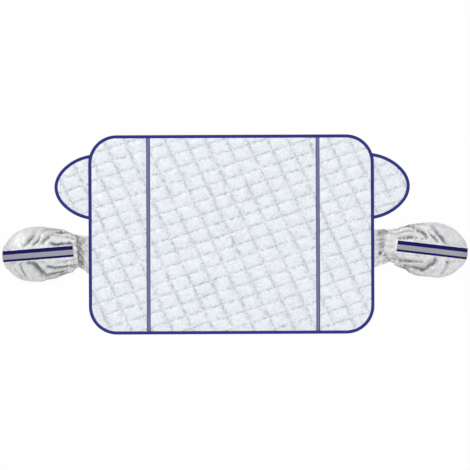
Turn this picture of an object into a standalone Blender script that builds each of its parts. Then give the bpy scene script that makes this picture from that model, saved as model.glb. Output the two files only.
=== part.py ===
"""Windshield frost cover, laid flat with its face up.

A quilted sheet with rounded corners has a folded binding round its edge and two
webbing tapes sewn down its face. A quilted half-round flap is tucked under each side,
to be shut in the car's doors. Below each flap a pouch for the wing mirror hangs on a
gathered neck. The pouch has an elastic in its mouth and a reflective strip on its face.

Metres, +Z up, +Y towards the top of the windshield. The cover lies on Z = 0, and the
middle of the quilted sheet is over the origin.
"""

import math

import bmesh
import bpy
from mathutils import Vector

# The quilted sheet, measured over its binding
PANEL_WIDTH = 1.470
PANEL_DEPTH = 1.020
CORNER_RADIUS = 0.144
CORNER_STEPS = 6

# The quilting: two sets of seams cross, and the wadding puffs up between them
ROW_PITCH = 0.0675
ROW_ANGLE = math.radians(17.6)
ROW_OFFSET = 0.0122
COLUMN_PITCH = 0.0955
COLUMN_ANGLE = math.radians(-65)
COLUMN_OFFSET = -0.0038
SEAM_THICKNESS = 0.0012
FACE_SLOPE = 0.015
BACK_SLOPE = 0.008
PUFF_HEIGHT = 0.0026
PUFF_CROWN = 0.0010
PUFF_FULL_AT = 0.026
SMALLEST_PUFF = 0.010
SMALLEST_EDGE = 0.0015

# The binding, a cloth strip folded over the edge
BINDING_WIDTH = 0.015
BINDING_CLOTH = 0.0006
SEAT_GAP = 0.0003
RIM_BEYOND_BINDING = 0.0015

# The two tapes down the face, placed from the sheet's left and right edges
TAPE_WIDTH = 0.0195
TAPE_THICKNESS = 0.0008
LEFT_TAPE_INSET = 0.310
RIGHT_TAPE_INSET = 0.289
CHANNEL_MARGIN = 0.0015
BINDING_RAMP = 0.004

# The door flaps, each cut from an ellipse
FLAP_REACH = 0.177
FLAP_CENTRE = 0.246
FLAP_HALF_LENGTH = 0.355
FLAP_HALF_HEIGHT = 0.200
FLAP_STEPS = 16
FLAP_ROW_SHIFT = {"left": -0.007, "right": 0.028}
FLAP_COLUMN_SHIFT = {"left": 0.0, "right": -0.030}
TUCK = 0.012

# The mirror pouches
POUCH_LENGTH = 0.378
POUCH_BELLY_AT = 0.216
POUCH_HALF_WIDTH = 0.144
POUCH_HEIGHT = 0.076
POUCH_CLOTH = 0.0015
MOUTH_HALF_WIDTH = 0.086
MOUTH_HEIGHT = 0.046
HEM_LENGTH = 0.013
BODY_RINGS = 4
EQUATOR_SHARE = 0.32
TIP_EQUATOR_HEIGHT = 0.015
TIP_TURN = math.radians(77)
TIP_RINGS = 5
SIDE_COLUMNS = 6
FLOOR_COLUMNS = 9
FLOOR_SPREAD = 1.25
PLEAT_DEPTH = 0.0045
PLEAT_LENGTH = 0.200

# The neck between the sheet and each pouch. The two lie a little differently.
NECK_LENGTH = {"left": 0.060, "right": 0.098}
NECK_CENTRE = {"left": -0.101, "right": -0.075}
MOUTH_CENTRE = {"left": -0.081, "right": -0.060}
MOUTH_LIP = {"left": 0.004, "right": 0.050}
POUCH_DROOP = {"left": math.radians(4.3), "right": math.radians(6.9)}
NECK_HALF_WIDTH = 0.097
NECK_MOUTH_CLEARANCE = 0.003
NECK_CLOTH = 0.0008
NECK_OVERLAP = 0.009
NECK_EDGE_MARGIN = 0.004
NECK_PLEAT = 0.011
NECK_ROWS = 3
NECK_COLUMNS = 18

# The elastic in the mouth and the strip on the pouch's face
ELASTIC_WIDTH = 0.008
ELASTIC_THICKNESS = 0.0010
ELASTIC_GAP = 0.0004
WEBBING_HALF_WIDTH = 0.028
WEBBING_THICKNESS = 0.0010
REFLECTOR_TOP = 0.0085
REFLECTOR_WIDTH = 0.0255
REFLECTOR_THICKNESS = 0.0004
STRIP_START = 0.016
STRIP_GAP = 0.0004
STRIP_TURN_DOWN = 0.006

# Heights that follow from the cloths above, from the floor up
BINDING_STACK = 2 * BINDING_CLOTH + 2 * SEAT_GAP + SEAM_THICKNESS
FOLD_RADIUS = BINDING_STACK / 2
RIM_WIDTH = BINDING_WIDTH + RIM_BEYOND_BINDING
RIM_OVER_BINDING = BINDING_CLOTH + SEAT_GAP
PANEL_BINDING_FLOOR = BINDING_STACK + SEAT_GAP
TAPE_LIFT = TAPE_THICKNESS + SEAT_GAP
SIDES = {"left": -1, "right": 1}


def clear_scene():
    for thing in list(bpy.data.objects):
        bpy.data.objects.remove(thing, do_unlink=True)


def make_material(name, colour, roughness, metallic=0.0):
    material = bpy.data.materials.new(name)
    material.use_nodes = True
    shader = material.node_tree.nodes["Principled BSDF"]
    shader.inputs["Base Color"].default_value = (*colour, 1.0)
    shader.inputs["Roughness"].default_value = roughness
    shader.inputs["Metallic"].default_value = metallic
    material.diffuse_color = (*colour, 1.0)
    return material


def object_from(name, builder, material, parent, smooth_under):
    """Makes a bmesh a named object, shaded smooth across edges flatter than the angle."""
    mesh = bpy.data.meshes.new(name)
    builder.to_mesh(mesh)
    builder.free()
    mesh.materials.append(material)
    mesh.shade_smooth()
    mesh.set_sharp_from_angle(angle=math.radians(smooth_under))
    thing = bpy.data.objects.new(name, mesh)
    thing.parent = parent
    bpy.context.scene.collection.objects.link(thing)
    return thing


def empty_at(name, parent, location=(0, 0, 0), turn=0.0):
    empty = bpy.data.objects.new(name, None)
    empty.parent = parent
    empty.location = location
    empty.rotation_euler.z = turn
    bpy.context.scene.collection.objects.link(empty)
    return empty


def finish_faces(builder):
    """Turns the faces outwards and splits each quad along the diagonal it was built on."""
    bmesh.ops.recalc_face_normals(builder, faces=builder.faces[:])
    bmesh.ops.triangulate(builder, faces=builder.faces[:], quad_method="FIXED")


def inset(outline, distance, last_edge=None):
    """Moves a counter-clockwise outline's edges inwards, the last one by a distance of its own."""
    count = len(outline)
    steps = [distance] * (count - 1) + [distance if last_edge is None else last_edge]
    moved = []
    for i, here in enumerate(outline):
        before = (here - outline[i - 1]).normalized()
        after = (outline[(i + 1) % count] - here).normalized()
        inward_before = Vector((-before.y, before.x))
        inward_after = Vector((-after.y, after.x))
        turn = before.cross(after)
        if abs(turn) < 1e-6:
            moved.append(here + inward_before * steps[i - 1])
            continue
        across = steps[i - 1] * inward_after.y - steps[i] * inward_before.y
        along = steps[i] * inward_before.x - steps[i - 1] * inward_after.x
        moved.append(here + Vector((across, along)) / turn)
    return moved


def add_grid(builder, rows, closed_across):
    """Joins rows of points with quads, always in the same order round each quad."""
    grid = [[builder.verts.new(point) for point in row] for row in rows]
    spans = len(rows[0]) if closed_across else len(rows[0]) - 1
    for near, far in zip(grid, grid[1:]):
        for j in range(spans):
            k = (j + 1) % len(near)
            builder.faces.new((near[j], far[j], far[k], near[k]))
    return grid


def slab_between(under, over, closed_across=False):
    """A strip of cloth, from the rows of points on its underside and on its face."""
    builder = bmesh.new()
    lower = add_grid(builder, under, closed_across)
    upper = add_grid(builder, over, closed_across)
    borders = [(lower[0], upper[0]), (lower[-1], upper[-1])]
    if not closed_across:
        for column in (0, -1):
            borders.append(([row[column] for row in lower], [row[column] for row in upper]))
    for low, high in borders:
        spans = len(low) if closed_across else len(low) - 1
        for j in range(spans):
            k = (j + 1) % len(low)
            builder.faces.new((low[j], low[k], high[k], high[j]))
    finish_faces(builder)
    return builder


# The outlines seen from above, counter-clockwise


def tape_centres():
    return {
        "left": LEFT_TAPE_INSET - PANEL_WIDTH / 2,
        "right": PANEL_WIDTH / 2 - RIGHT_TAPE_INSET,
    }


def panel_outline():
    """The outer edge of the sheet's binding, with points where it climbs over each tape."""
    covered = TAPE_WIDTH / 2 + SEAT_GAP
    crossings = sorted(
        centre + side * reach
        for centre in tape_centres().values()
        for side in SIDES.values()
        for reach in (covered, covered + BINDING_RAMP)
    )
    straight_x = PANEL_WIDTH / 2 - CORNER_RADIUS
    straight_y = PANEL_DEPTH / 2 - CORNER_RADIUS
    outline = []
    for quarter, (x_side, y_side) in enumerate(((1, -1), (1, 1), (-1, 1), (-1, -1))):
        centre = Vector((x_side * straight_x, y_side * straight_y))
        for step in range(CORNER_STEPS + 1):
            angle = math.radians(90) * (quarter - 1 + step / CORNER_STEPS)
            outline.append(centre + CORNER_RADIUS * Vector((math.cos(angle), math.sin(angle))))
        if quarter == 1:
            outline += [Vector((x, PANEL_DEPTH / 2)) for x in reversed(crossings)]
        if quarter == 3:
            outline += [Vector((x, -PANEL_DEPTH / 2)) for x in crossings]
    return outline


def flap_outline(side):
    """The outer edge of a flap's binding. Its last edge is the straight one, tucked away."""
    edge = PANEL_WIDTH / 2
    ellipse_centre = edge + FLAP_REACH - FLAP_HALF_LENGTH
    widest = math.acos((edge - TUCK - ellipse_centre) / FLAP_HALF_LENGTH)
    outline = []
    for step in range(FLAP_STEPS + 1):
        angle = widest * (2 * step / FLAP_STEPS - 1)
        x = ellipse_centre + FLAP_HALF_LENGTH * math.cos(angle)
        y = FLAP_CENTRE + FLAP_HALF_HEIGHT * math.sin(angle)
        outline.append(Vector((SIDES[side] * x, y)))
    return outline if side == "right" else outline[::-1]


# The quilted sheet and the flaps


def cut_cells(plan, at, normal):
    """Cuts the plan's quilted faces, marked by their material index, along a straight line."""
    cells = [face for face in plan.faces if face.material_index]
    edges = {edge for face in cells for edge in face.edges}
    verts = {vertex for face in cells for vertex in face.verts}
    bmesh.ops.bisect_plane(
        plan,
        geom=[*verts, *edges, *cells],
        dist=SMALLEST_EDGE,
        plane_co=at,
        plane_no=normal,
    )


def cut_seams(plan, angle, pitch, offset):
    """Cuts the quilted faces along one set of parallel seams."""
    normal = Vector((-math.sin(angle), math.cos(angle), 0))
    reaches = [vertex.co.dot(normal) for vertex in plan.verts]
    first = math.ceil((min(reaches) - offset) / pitch)
    last = math.floor((max(reaches) - offset) / pitch)
    for line in range(first, last + 1):
        cut_cells(plan, normal * (offset + line * pitch), normal)


def quilt_plan(edge, field, channels, row_shift, column_shift):
    """The sheet seen from above: a plain rim, plain channels and the quilted cells."""
    plan = bmesh.new()
    outer = [plan.verts.new((*point, 0)) for point in edge]
    inner = [plan.verts.new((*point, 0)) for point in field]
    for i in range(len(outer)):
        k = (i + 1) % len(outer)
        plan.faces.new((outer[i], outer[k], inner[k], inner[i]))
    plan.faces.new(inner).material_index = 1
    for low, high in channels:
        cut_cells(plan, (low, 0, 0), (1, 0, 0))
        cut_cells(plan, (high, 0, 0), (1, 0, 0))
        for face in plan.faces:
            if low < face.calc_center_median().x < high:
                face.material_index = 0
    cut_seams(plan, ROW_ANGLE, ROW_PITCH, ROW_OFFSET + row_shift)
    cut_seams(plan, COLUMN_ANGLE, COLUMN_PITCH, COLUMN_OFFSET + column_shift)
    return plan


def cell_room(cell):
    """How far a cell's nearest side is from its middle."""
    centre = cell.calc_center_median()
    return min(
        (loop.vert.co - centre).cross((loop.link_loop_next.vert.co - loop.vert.co).normalized()).length
        for loop in cell.loops
    )


def add_puff(builder, rim, slope, room, rise, crown=0.0):
    """Raises a smaller outline inside the rim, and closes it with a flat or a low crown."""
    centre = sum((vertex.co for vertex in rim), Vector()) / len(rim)
    share = 1 - min(slope, room / 2) / room
    lift = Vector((0, 0, rise))
    ring = [builder.verts.new(centre + (vertex.co - centre) * share + lift) for vertex in rim]
    for i in range(len(rim)):
        k = (i + 1) % len(rim)
        builder.faces.new((rim[i], rim[k], ring[k], ring[i]))
    if not crown:
        builder.faces.new(ring)
        return
    top = builder.verts.new(centre + lift + Vector((0, 0, crown)))
    for i in range(len(rim)):
        builder.faces.new((ring[i], ring[(i + 1) % len(ring)], top))


def quilted_sheet(name, plan, rim_floor, material, parent):
    """Pinches the sheet to SEAM_THICKNESS at its seams and rim, and puffs each cell.

    The face of a cell cut small rises less. Underneath, the whole cells reach down to Z = 0.
    """
    builder = bmesh.new()
    lower, upper = {}, {}
    for vertex in plan.verts:
        lower[vertex] = builder.verts.new((*vertex.co.xy, rim_floor))
        upper[vertex] = builder.verts.new((*vertex.co.xy, rim_floor + SEAM_THICKNESS))
    for face in plan.faces:
        below = [lower[vertex] for vertex in face.verts]
        above = [upper[vertex] for vertex in face.verts]
        room = cell_room(face) if face.material_index else 0
        if room < PUFF_FULL_AT:
            builder.faces.new(below)
        else:
            add_puff(builder, below, BACK_SLOPE, room, -rim_floor)
        if room < SMALLEST_PUFF:
            builder.faces.new(above)
        else:
            fullness = min(1.0, room / PUFF_FULL_AT)
            rise, crown = PUFF_HEIGHT * fullness, PUFF_CROWN * fullness
            add_puff(builder, above, FACE_SLOPE, room, rise, crown)
    for edge in plan.edges:
        if edge.is_boundary:
            start, end = edge.verts
            builder.faces.new((lower[start], lower[end], upper[end], upper[start]))
    plan.free()
    finish_faces(builder)
    return object_from(name, builder, material, parent, smooth_under=25)


def binding(name, outline, floor, tapes, material, parent, tucked_edge=None):
    """Folds a strip over an outline. It climbs each tape, and stops short of a tucked edge."""
    covered = TAPE_WIDTH / 2 + BINDING_RAMP / 2
    section = (
        (BINDING_WIDTH, 0, 0),
        (FOLD_RADIUS, 0, 0),
        (0, FOLD_RADIUS, 0),
        (FOLD_RADIUS, BINDING_STACK, TAPE_LIFT),
        (BINDING_WIDTH, BINDING_STACK, TAPE_LIFT),
        (BINDING_WIDTH, BINDING_STACK - BINDING_CLOTH, TAPE_LIFT),
        (FOLD_RADIUS, BINDING_STACK - BINDING_CLOTH, TAPE_LIFT),
        (BINDING_CLOTH, FOLD_RADIUS, 0),
        (FOLD_RADIUS, BINDING_CLOTH, 0),
        (BINDING_WIDTH, BINDING_CLOTH, 0),
    )
    columns = []
    for inward, height, lift in section:
        column = []
        for x, y in inset(outline, inward, last_edge=tucked_edge):
            on_tape = any(abs(x - centre) < covered for centre in tapes)
            column.append((x, y, floor + height + lift * on_tape))
        columns.append(column)
    rings = list(zip(*columns))
    builder = bmesh.new()
    grid = add_grid(builder, rings, closed_across=True)
    if tucked_edge is None:
        for j in range(len(section)):
            k = (j + 1) % len(section)
            builder.faces.new((grid[-1][j], grid[0][j], grid[0][k], grid[-1][k]))
    else:
        builder.faces.new(grid[0])
        builder.faces.new(grid[-1])
    finish_faces(builder)
    return object_from(name, builder, material, parent, smooth_under=35)


def tape(name, centre, material, parent):
    """Webbing down the sheet's face in its channel, its ends under the binding."""
    low = PANEL_BINDING_FLOOR + RIM_OVER_BINDING + SEAM_THICKNESS + SEAT_GAP
    end = PANEL_DEPTH / 2 - 2 * FOLD_RADIUS
    edge = TAPE_THICKNESS / 2
    across = (-TAPE_WIDTH / 2, edge - TAPE_WIDTH / 2, TAPE_WIDTH / 2 - edge, TAPE_WIDTH / 2)
    under, over = [], []
    for y in (-end, end):
        xs = [centre + x for x in across]
        under.append([(x, y, low + rise) for x, rise in zip(xs, (edge / 2, 0, 0, edge / 2))])
        over.append(
            [(x, y, low + TAPE_THICKNESS - drop) for x, drop in zip(xs, (edge / 2, 0, 0, edge / 2))]
        )
    return object_from(name, slab_between(under, over), material, parent, smooth_under=35)


def make_panel(cloth, blue, webbing, parent):
    outline = panel_outline()
    rim_floor = PANEL_BINDING_FLOOR + RIM_OVER_BINDING
    half_channel = TAPE_WIDTH / 2 + CHANNEL_MARGIN
    centres = tape_centres()
    plan = quilt_plan(
        inset(outline, FOLD_RADIUS),
        inset(outline, RIM_WIDTH),
        [(centre - half_channel, centre + half_channel) for centre in centres.values()],
        row_shift=0,
        column_shift=0,
    )
    quilted_sheet("main_panel", plan, rim_floor, cloth, parent)
    binding("main_binding", outline, PANEL_BINDING_FLOOR, centres.values(), blue, parent)
    for side, centre in centres.items():
        tape(f"{side}_tape", centre, webbing, parent)


def make_flap(side, cloth, blue, parent):
    outline = flap_outline(side)
    plan = quilt_plan(
        inset(outline, FOLD_RADIUS, last_edge=0),
        inset(outline, RIM_WIDTH, last_edge=TUCK + RIM_BEYOND_BINDING),
        channels=[],
        row_shift=FLAP_ROW_SHIFT[side],
        column_shift=FLAP_COLUMN_SHIFT[side],
    )
    quilted_sheet(f"{side}_flap", plan, RIM_OVER_BINDING, cloth, parent)
    binding(f"{side}_flap_binding", outline, 0, [], blue, parent, tucked_edge=0)


# The pouches. Along runs from the mouth to the tip, across towards the sheet's top.


def pouch_stations():
    """Each ring: its distance, half width, height, equator, lift, closing and hem share."""
    mouth_lift = NECK_CLOTH + SEAT_GAP
    mouth_equator = MOUTH_HEIGHT * EQUATOR_SHARE
    for distance in (0, HEM_LENGTH):
        yield distance, MOUTH_HALF_WIDTH, MOUTH_HEIGHT, mouth_equator, mouth_lift, 1, 1
    for ring in range(BODY_RINGS + 1):
        distance = STRIP_START + (POUCH_BELLY_AT - STRIP_START) * ring / BODY_RINGS
        ease = math.sin(math.radians(90) * distance / POUCH_BELLY_AT)
        half_width = MOUTH_HALF_WIDTH + (POUCH_HALF_WIDTH - MOUTH_HALF_WIDTH) * ease
        height = MOUTH_HEIGHT + (POUCH_HEIGHT - MOUTH_HEIGHT) * ease
        yield distance, half_width, height, height * EQUATOR_SHARE, 0, 1, 0
    belly_equator = POUCH_HEIGHT * EQUATOR_SHARE
    for ring in range(1, TIP_RINGS + 1):
        turn = TIP_TURN * ring / TIP_RINGS
        reach = math.sin(turn) / math.sin(TIP_TURN)
        distance = POUCH_BELLY_AT + (POUCH_LENGTH - POUCH_BELLY_AT) * reach
        equator = belly_equator + (TIP_EQUATOR_HEIGHT - belly_equator) * (1 - math.cos(turn))
        height = equator + POUCH_HEIGHT - belly_equator
        half_width = POUCH_HALF_WIDTH * math.cos(turn)
        yield distance, half_width, height, equator, 0, math.cos(turn), 0


def pouch_ring(lip, distance, half_width, height, equator, lift, closing, hem_share):
    """One closed section: columns down one side, the strip's four, the other side, the floor."""
    borders = (
        WEBBING_HALF_WIDTH,
        REFLECTOR_TOP,
        REFLECTOR_TOP - REFLECTOR_WIDTH,
        -WEBBING_HALF_WIDTH,
    )
    strip_edge = math.acos(WEBBING_HALF_WIDTH / half_width)
    side = [strip_edge * column / SIDE_COLUMNS for column in range(SIDE_COLUMNS)]
    strip = [math.acos(border / half_width) for border in borders]
    floor = [math.pi * (1 + n / (FLOOR_COLUMNS + 1)) for n in range(1, FLOOR_COLUMNS + 1)]
    pleats = [(angle, 1 - 2 * (n % 2)) for n, angle in enumerate(side)]
    pleats += [(angle, 0) for angle in strip]
    pleats += [(math.pi - angle, sign) for angle, sign in reversed(pleats[:SIDE_COLUMNS])]
    pleats += [(angle, 2 * (n % 2) - 1) for n, angle in enumerate(floor)]
    depth = PLEAT_DEPTH * max(0.0, 1 - distance / PLEAT_LENGTH)
    ring = []
    for angle, sign in pleats:
        across = half_width * math.cos(angle) + sign * depth * math.cos(angle)
        if angle < math.pi:
            rise = equator + (height - equator) * math.sin(angle) * closing
        else:
            rise = equator * (1 - closing * min(1.0, FLOOR_SPREAD * abs(math.sin(angle))))
        rise += sign * depth * math.sin(angle)
        along = distance - lip * hem_share * max(0.0, math.sin(angle)) ** 2
        ring.append((along, across, lift + max(0.0, rise)))
    return ring


def pouch_surface(side):
    """The pouch's outer face as a bmesh, open at the mouth, and its rings of vertices."""
    rings = [
        [(along, SIDES[side] * across, rise) for along, across, rise in ring]
        for ring in (pouch_ring(MOUTH_LIP[side], *station) for station in pouch_stations())
    ]
    surface = bmesh.new()
    grid = add_grid(surface, rings, closed_across=True)
    surface.faces.new(grid[-1])
    finish_faces(surface)
    surface.normal_update()
    return surface, grid


def off_surface(vertex, distance):
    """The point that far off the facets round a vertex."""
    return vertex.co + vertex.normal * vertex.calc_shell_factor() * distance


def strip_solid(grid, first_column, last_column, distance, thickness):
    """A strip on the pouch between two of its columns, turned down over the tip's end."""
    sheets = []
    for height in (distance, distance + thickness):
        rows = [
            [off_surface(vertex, height) for vertex in ring[first_column : last_column + 1]]
            for ring in grid[2:]
        ]
        end = [
            Vector((vertex.co.x + height, vertex.co.y, vertex.co.z - STRIP_TURN_DOWN))
            for vertex in grid[-1][first_column : last_column + 1]
        ]
        sheets.append([*rows, end])
    return slab_between(*sheets)


def pouch_solid(surface, grid):
    """Gives the pouch's outer face its cloth's thickness inwards, open at the mouth."""
    inner_rows = [[off_surface(vertex, -POUCH_CLOTH) for vertex in ring] for ring in grid]
    inner = add_grid(surface, inner_rows, closed_across=True)
    surface.faces.new(inner[-1])
    for i, vertex in enumerate(grid[0]):
        k = (i + 1) % len(grid[0])
        surface.faces.new((vertex, grid[0][k], inner[0][k], inner[0][i]))
    finish_faces(surface)
    return surface


def elastic_solid(grid):
    """The elastic band inside the hem, following its gathers."""
    start = (HEM_LENGTH - ELASTIC_WIDTH) / 2
    sheets = []
    for distance in (POUCH_CLOTH + ELASTIC_GAP + ELASTIC_THICKNESS, POUCH_CLOTH + ELASTIC_GAP):
        rims = [[off_surface(vertex, -distance) for vertex in ring] for ring in grid[:2]]
        sheets.append(
            [
                [near.lerp(far, along / HEM_LENGTH) for near, far in zip(*rims)]
                for along in (start, start + ELASTIC_WIDTH)
            ]
        )
    return slab_between(*sheets, closed_across=True)


def neck_solid(side, mouth):
    """Gathered cloth from under the sheet's edge to the pouch's lower lip, where it is flat."""
    edge = SIDES[side] * PANEL_WIDTH / 2
    outward = SIDES[side]
    tilt = mouth.rotation_euler.z + (math.pi if side == "left" else 0)
    along = Vector((math.cos(tilt), math.sin(tilt))) * outward
    across = Vector((-math.sin(tilt), math.cos(tilt)))
    root = Vector((edge, NECK_CENTRE[side]))
    end = mouth.location.xy
    mouth_half = MOUTH_HALF_WIDTH - NECK_MOUTH_CLEARANCE
    sewn = BINDING_STACK - NECK_CLOTH
    lines = [
        (root - Vector((outward * TUCK, 0)), Vector((0, 1)), NECK_HALF_WIDTH, sewn),
        (root + Vector((outward * NECK_EDGE_MARGIN, 0)), Vector((0, 1)), NECK_HALF_WIDTH, sewn),
    ]
    start, stop = lines[1][0], end - along * NECK_EDGE_MARGIN
    for row in range(1, NECK_ROWS):
        share = row / NECK_ROWS
        half = NECK_HALF_WIDTH + (mouth_half - NECK_HALF_WIDTH) * share
        swell = math.sin(math.pi * share)
        direction = Vector((0, 1)).lerp(across, share)
        pleat = sewn * (1 - share) + NECK_PLEAT * swell
        lines.append((start.lerp(stop, share), direction, half, pleat))
    lines.append((stop, across, mouth_half, 0))
    lines.append((end + along * NECK_OVERLAP, across, mouth_half, 0))
    under = []
    for middle, direction, half, pleat in lines:
        row = []
        for column in range(NECK_COLUMNS + 1):
            point = middle + direction * half * (2 * column / NECK_COLUMNS - 1)
            row.append(Vector((*point, pleat * (column % 2))))
        under.append(row)
    over = [[point + Vector((0, 0, NECK_CLOTH)) for point in row] for row in under]
    return slab_between(under, over)


def make_pouch(side, silver, elastic, webbing, reflective, parent):
    outward = SIDES[side]
    turn = -outward * POUCH_DROOP[side]
    mouth = empty_at(
        f"{side}_mouth",
        parent,
        (outward * (PANEL_WIDTH / 2 + NECK_LENGTH[side]), MOUTH_CENTRE[side], 0),
        turn if side == "right" else turn + math.pi,
    )
    surface, grid = pouch_surface(side)
    strip_columns = (SIDE_COLUMNS, SIDE_COLUMNS + 3)
    reflector_columns = (SIDE_COLUMNS + 1, SIDE_COLUMNS + 2)
    over_webbing = 2 * STRIP_GAP + WEBBING_THICKNESS
    band = strip_solid(grid, *strip_columns, STRIP_GAP, WEBBING_THICKNESS)
    reflector = strip_solid(grid, *reflector_columns, over_webbing, REFLECTOR_THICKNESS)
    object_from(f"{side}_elastic", elastic_solid(grid), elastic, mouth, smooth_under=35)
    object_from(f"{side}_strip_webbing", band, webbing, mouth, smooth_under=35)
    object_from(f"{side}_reflector", reflector, reflective, mouth, smooth_under=35)
    pouch = pouch_solid(surface, grid)
    object_from(f"{side}_mirror_pouch", pouch, silver, mouth, smooth_under=50)
    object_from(f"{side}_neck", neck_solid(side, mouth), silver, parent, smooth_under=50)


def main():
    clear_scene()
    cover = empty_at("frost_cover", None)
    cloth = make_material("quilted silver cloth", (0.76, 0.80, 0.85), 0.45, 0.15)
    blue = make_material("blue binding cloth", (0.020, 0.020, 0.22), 0.75)
    webbing = make_material("blue webbing", (0.14, 0.14, 0.37), 0.8)
    silver = make_material("thin silver cloth", (0.60, 0.61, 0.63), 0.35, 0.5)
    elastic = make_material("white elastic", (0.80, 0.80, 0.80), 0.8)
    navy = make_material("navy webbing", (0.010, 0.007, 0.14), 0.7)
    reflective = make_material("grey reflective tape", (0.31, 0.31, 0.35), 0.3, 0.3)
    make_panel(cloth, blue, webbing, cover)
    for side in SIDES:
        make_flap(side, cloth, blue, cover)
        make_pouch(side, silver, elastic, navy, reflective, cover)


main()
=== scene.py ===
import math

import bpy
import numpy as np
from mathutils import Matrix, Vector, noise


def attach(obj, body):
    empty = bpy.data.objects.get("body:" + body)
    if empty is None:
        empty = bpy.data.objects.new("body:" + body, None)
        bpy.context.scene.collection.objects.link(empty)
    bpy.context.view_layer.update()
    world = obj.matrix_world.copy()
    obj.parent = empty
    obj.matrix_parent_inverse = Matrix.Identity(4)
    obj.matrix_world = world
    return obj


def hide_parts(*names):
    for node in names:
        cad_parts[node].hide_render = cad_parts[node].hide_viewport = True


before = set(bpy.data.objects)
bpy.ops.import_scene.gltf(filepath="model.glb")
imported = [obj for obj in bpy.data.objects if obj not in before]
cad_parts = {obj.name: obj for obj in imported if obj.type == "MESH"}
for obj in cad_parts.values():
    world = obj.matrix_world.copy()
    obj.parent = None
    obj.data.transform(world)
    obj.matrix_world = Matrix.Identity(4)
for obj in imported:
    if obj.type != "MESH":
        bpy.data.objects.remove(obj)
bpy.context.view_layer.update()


# A plain pale studio. The cover is seen from straight above through a long lens. Two soft
# lights and a pale sky light it, and its shadow on the bright floor is faint.
FRAME_WIDTH = 2.4205
CAMERA_DISTANCE = 8.0
CAMERA_OVER = (0.0187, -0.0029)
CAMERA_ROLL = math.radians(-0.25)
FLOOR_WHITE = (0.93, 0.94, 0.96, 1)


def add_node(tree, kind, inputs=(), **settings):
    """Adds a shader node. Inputs are (socket, value or the output that feeds it)."""
    node = tree.nodes.new(kind)
    for setting, value in settings.items():
        setattr(node, setting, value)
    for socket, value in inputs:
        if isinstance(value, bpy.types.NodeSocket):
            tree.links.new(value, node.inputs[socket])
        else:
            node.inputs[socket].default_value = value
    return node


def calculate(tree, operation, *values):
    """A Math node's result."""
    return add_node(tree, "ShaderNodeMath", enumerate(values), operation=operation).outputs[0]


def seen_by_background_rays(tree):
    """1 for the rays that show the backdrop: to the camera, in a reflection or through glass."""
    path = add_node(tree, "ShaderNodeLightPath")
    either = calculate(tree, "MAXIMUM", path.outputs["Is Camera Ray"], path.outputs["Is Glossy Ray"])
    return calculate(tree, "MAXIMUM", either, path.outputs["Is Transmission Ray"])


bpy.ops.object.select_all(action="DESELECT")
bpy.ops.mesh.primitive_plane_add(size=30, location=(0, 0, -0.0006))
floor = bpy.context.object
floor.name = "studio_floor"
floor_paper = bpy.data.materials.new("pale studio floor")
floor_paper.use_nodes = True
tree = floor_paper.node_tree
tree.nodes.clear()
matt = add_node(tree, "ShaderNodeBsdfDiffuse", [("Color", FLOOR_WHITE)])
glow = add_node(tree, "ShaderNodeEmission", [("Color", (1, 1, 1, 1)), ("Strength", 1.0)])
share = calculate(tree, "MULTIPLY", seen_by_background_rays(tree), 0.94)
blended = add_node(tree, "ShaderNodeMixShader", [(0, share), (1, matt.outputs[0]), (2, glow.outputs[0])])
add_node(tree, "ShaderNodeOutputMaterial", [("Surface", blended.outputs[0])])
floor.data.materials.append(floor_paper)

sky = bpy.data.worlds.new("studio sky")
sky.use_nodes = True
tree = sky.node_tree
tree.nodes.clear()
level = calculate(tree, "MULTIPLY_ADD", seen_by_background_rays(tree), 0.43, 0.57)
backdrop = add_node(tree, "ShaderNodeBackground", [("Color", (1, 1, 1, 1)), ("Strength", level)])
add_node(tree, "ShaderNodeOutputWorld", [("Surface", backdrop.outputs[0])])
bpy.context.scene.world = sky

for lamp_name, place, strength, softness in (
    ("key_light", (-0.55, 0.62, 1.0), 1.00, 34),
    ("fill_light", (0.7, -0.5, 1.0), 0.52, 70),
):
    bpy.ops.object.light_add(type="SUN", location=(0, 0, 4))
    lamp = bpy.context.object
    lamp.name = lamp_name
    lamp.data.energy = strength
    lamp.data.angle = math.radians(softness)
    lamp.rotation_euler = (-Vector(place)).to_track_quat("-Z", "Y").to_euler()

bpy.ops.object.camera_add(location=(*CAMERA_OVER, CAMERA_DISTANCE), rotation=(0, 0, CAMERA_ROLL))
camera = bpy.context.object
camera.data.sensor_width = 36
camera.data.lens = 36 * CAMERA_DISTANCE / FRAME_WIDTH
camera.data.clip_end = 60
bpy.context.scene.camera = camera
bpy.context.scene.view_settings.view_transform = "Standard"


# The quilted sheet: silver-white foil cloth on both faces of a thin wadding, sewn through
# along two sets of slanting seams, with plain channels for the tapes and a plain rim for
# the binding. The wadding puffs up between the seams, and the cloth puckers beside them.
PANEL_WIDTH, PANEL_DEPTH, CORNER_RADIUS = 1.470, 1.026, 0.145
ROW_PITCH, ROW_ANGLE, ROW_OFFSET = 0.0675, math.radians(17.6), 0.0080
COLUMN_PITCH, COLUMN_ANGLE, COLUMN_OFFSET = 0.0955, math.radians(-65), -0.0066
ROW_CELLS, COLUMN_CELLS = 12, 16
SEAM_CROWDING = 0.55
SHEET_THICKNESS = 0.0012
RIM_WIDTH = 0.0178
PANEL_RIM_FLOOR = 0.0042
PANEL_PUFF = 0.0052
BACK_PUFF = 0.0042
TAPE_CENTRES = (-0.4272, 0.4455)
TAPE_HALF_WIDTH = 0.00975
CHANNEL_HALF_WIDTH = 0.01125
CLOTH_WHITE = (0.85, 0.885, 0.932, 1)
# The grey of the painted shade along the seams
SEAM_SHADE_GREY = (0.44, 0.47, 0.52, 1)


def across_seams(angle):
    return np.array((-math.sin(angle), math.cos(angle)))


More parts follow.
